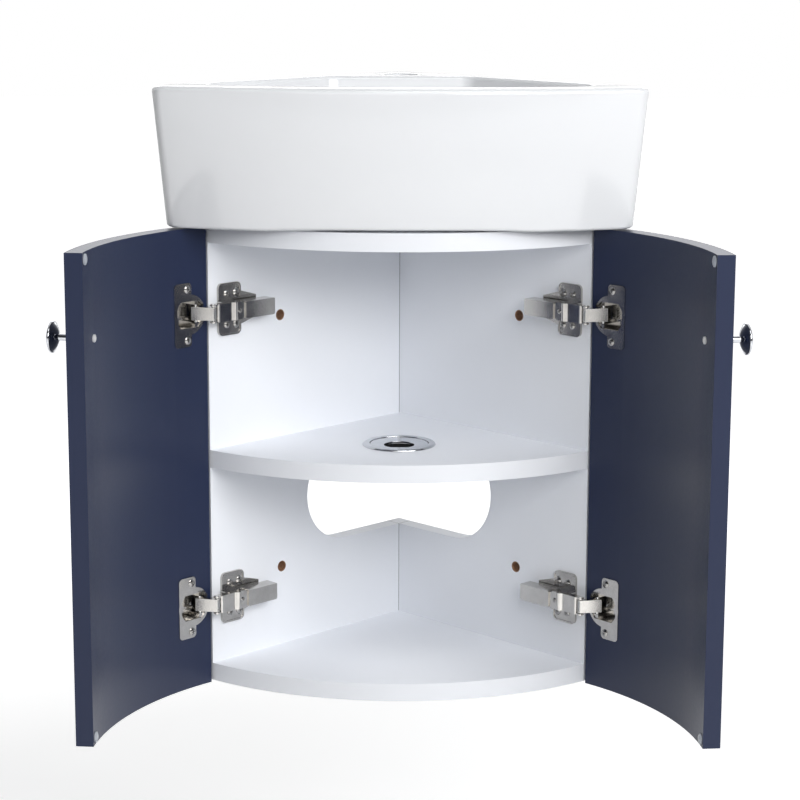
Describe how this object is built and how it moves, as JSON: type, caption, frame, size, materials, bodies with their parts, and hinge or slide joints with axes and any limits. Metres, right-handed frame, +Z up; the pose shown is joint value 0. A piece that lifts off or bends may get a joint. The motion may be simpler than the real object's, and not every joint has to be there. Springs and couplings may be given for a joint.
{
  "type": "corner vanity unit",
  "caption": "Wall-hung corner vanity unit with a quarter-round cabinet, curved doors on concealed cup hinges, a shelf with a pipe outlet, and a corner basin on top.",
  "frame": {"origin": "the room's corner, at the cabinet's underside", "axes": "+Z up, +Y out of the room into the corner, +X to the right as seen from the front"},
  "size_m": [0.618, 0.392, 0.575],
  "materials": {
    "white_board": "white melamine-faced board with white edge band",
    "navy_door": "navy satin lacquer",
    "ceramic": "white gloss glaze",
    "knob_chrome": "polished chrome",
    "outlet_chrome": "polished chrome",
    "black_rubber": "black matt rubber",
    "clear_bumper": "clear soft plastic",
    "zinc_screw": "zinc plated",
    "steel_pin": "plain steel",
    "plate_nickel": "bright nickel plated",
    "hinge_nickel": "bright nickel plated"
  },
  "bodies": {
    "root": {"left_wall_board": "white_board", "right_wall_board": "white_board", "top_board": "white_board", "shelf": "white_board", "bottom_board": "white_board", "left_board_screws": "zinc_screw", "right_board_screws": "zinc_screw", "corner_screws": "zinc_screw", "basin": "ceramic", "outlet_ring": "outlet_chrome", "left_upper_arm": "hinge_nickel", "left_lower_arm": "hinge_nickel", "right_upper_arm": "hinge_nickel", "right_lower_arm": "hinge_nickel", "left_upper_arm_pin": "steel_pin", "left_lower_arm_pin": "steel_pin", "right_upper_arm_pin": "steel_pin", "right_lower_arm_pin": "steel_pin", "left_upper_arm_cover": "hinge_nickel", "left_lower_arm_cover": "hinge_nickel", "right_upper_arm_cover": "hinge_nickel", "right_lower_arm_cover": "hinge_nickel", "left_upper_base_plate": "plate_nickel", "left_lower_base_plate": "plate_nickel", "right_upper_base_plate": "plate_nickel", "right_lower_base_plate": "plate_nickel", "left_plate_screws": "zinc_screw", "right_plate_screws": "zinc_screw", "left_arm_screws": "zinc_screw", "right_arm_screws": "zinc_screw"},
    "left_links": {"left_upper_link": "hinge_nickel", "left_lower_link": "hinge_nickel"},
    "left_door": {"left_door": "navy_door", "left_knob": "knob_chrome", "left_knob_screw": "zinc_screw", "left_door_bumpers": "clear_bumper", "left_upper_cup": "hinge_nickel", "left_lower_cup": "hinge_nickel", "left_upper_cup_pin": "steel_pin", "left_lower_cup_pin": "steel_pin", "left_cup_screws": "zinc_screw"},
    "right_links": {"right_upper_link": "hinge_nickel", "right_lower_link": "hinge_nickel"},
    "right_door": {"right_door": "navy_door", "right_knob": "knob_chrome", "right_knob_screw": "zinc_screw", "right_door_bumpers": "clear_bumper", "right_upper_cup": "hinge_nickel", "right_lower_cup": "hinge_nickel", "right_upper_cup_pin": "steel_pin", "right_lower_cup_pin": "steel_pin", "right_cup_screws": "zinc_screw"},
    "outlet_cap": {"outlet_cap": "outlet_chrome", "outlet_seal": "black_rubber"}
  },
  "joints": [
    {"name": "left_link_swing", "type": "hinge", "parent": "root", "child": "left_links", "pos_m": [-0.17395, -0.21779, 0.22], "axis": [0, 0, -1], "range_deg": [0, 38]},
    {"name": "left_door_swing", "type": "hinge", "parent": "left_links", "child": "left_door", "pos_m": [-0.19052, -0.21475, 0.22], "axis": [0, 0, 1], "range_deg": [0, 133]},
    {"name": "right_link_swing", "type": "hinge", "parent": "root", "child": "right_links", "pos_m": [0.17395, -0.21779, 0.22], "axis": [0, 0, 1], "range_deg": [0, 38]},
    {"name": "right_door_swing", "type": "hinge", "parent": "right_links", "child": "right_door", "pos_m": [0.19052, -0.21475, 0.22], "axis": [0, 0, -1], "range_deg": [0, 133]},
    {"name": "outlet_cap_lift", "type": "slide", "parent": "root", "child": "outlet_cap", "axis": [0, 0, 1], "range_m": [0, 0.025]}
  ],
  "couplings": [
    {"joint": "left_link_swing", "follows": "left_door_swing", "ratio": 0.28571},
    {"joint": "right_link_swing", "follows": "right_door_swing", "ratio": 0.28571}
  ]
}
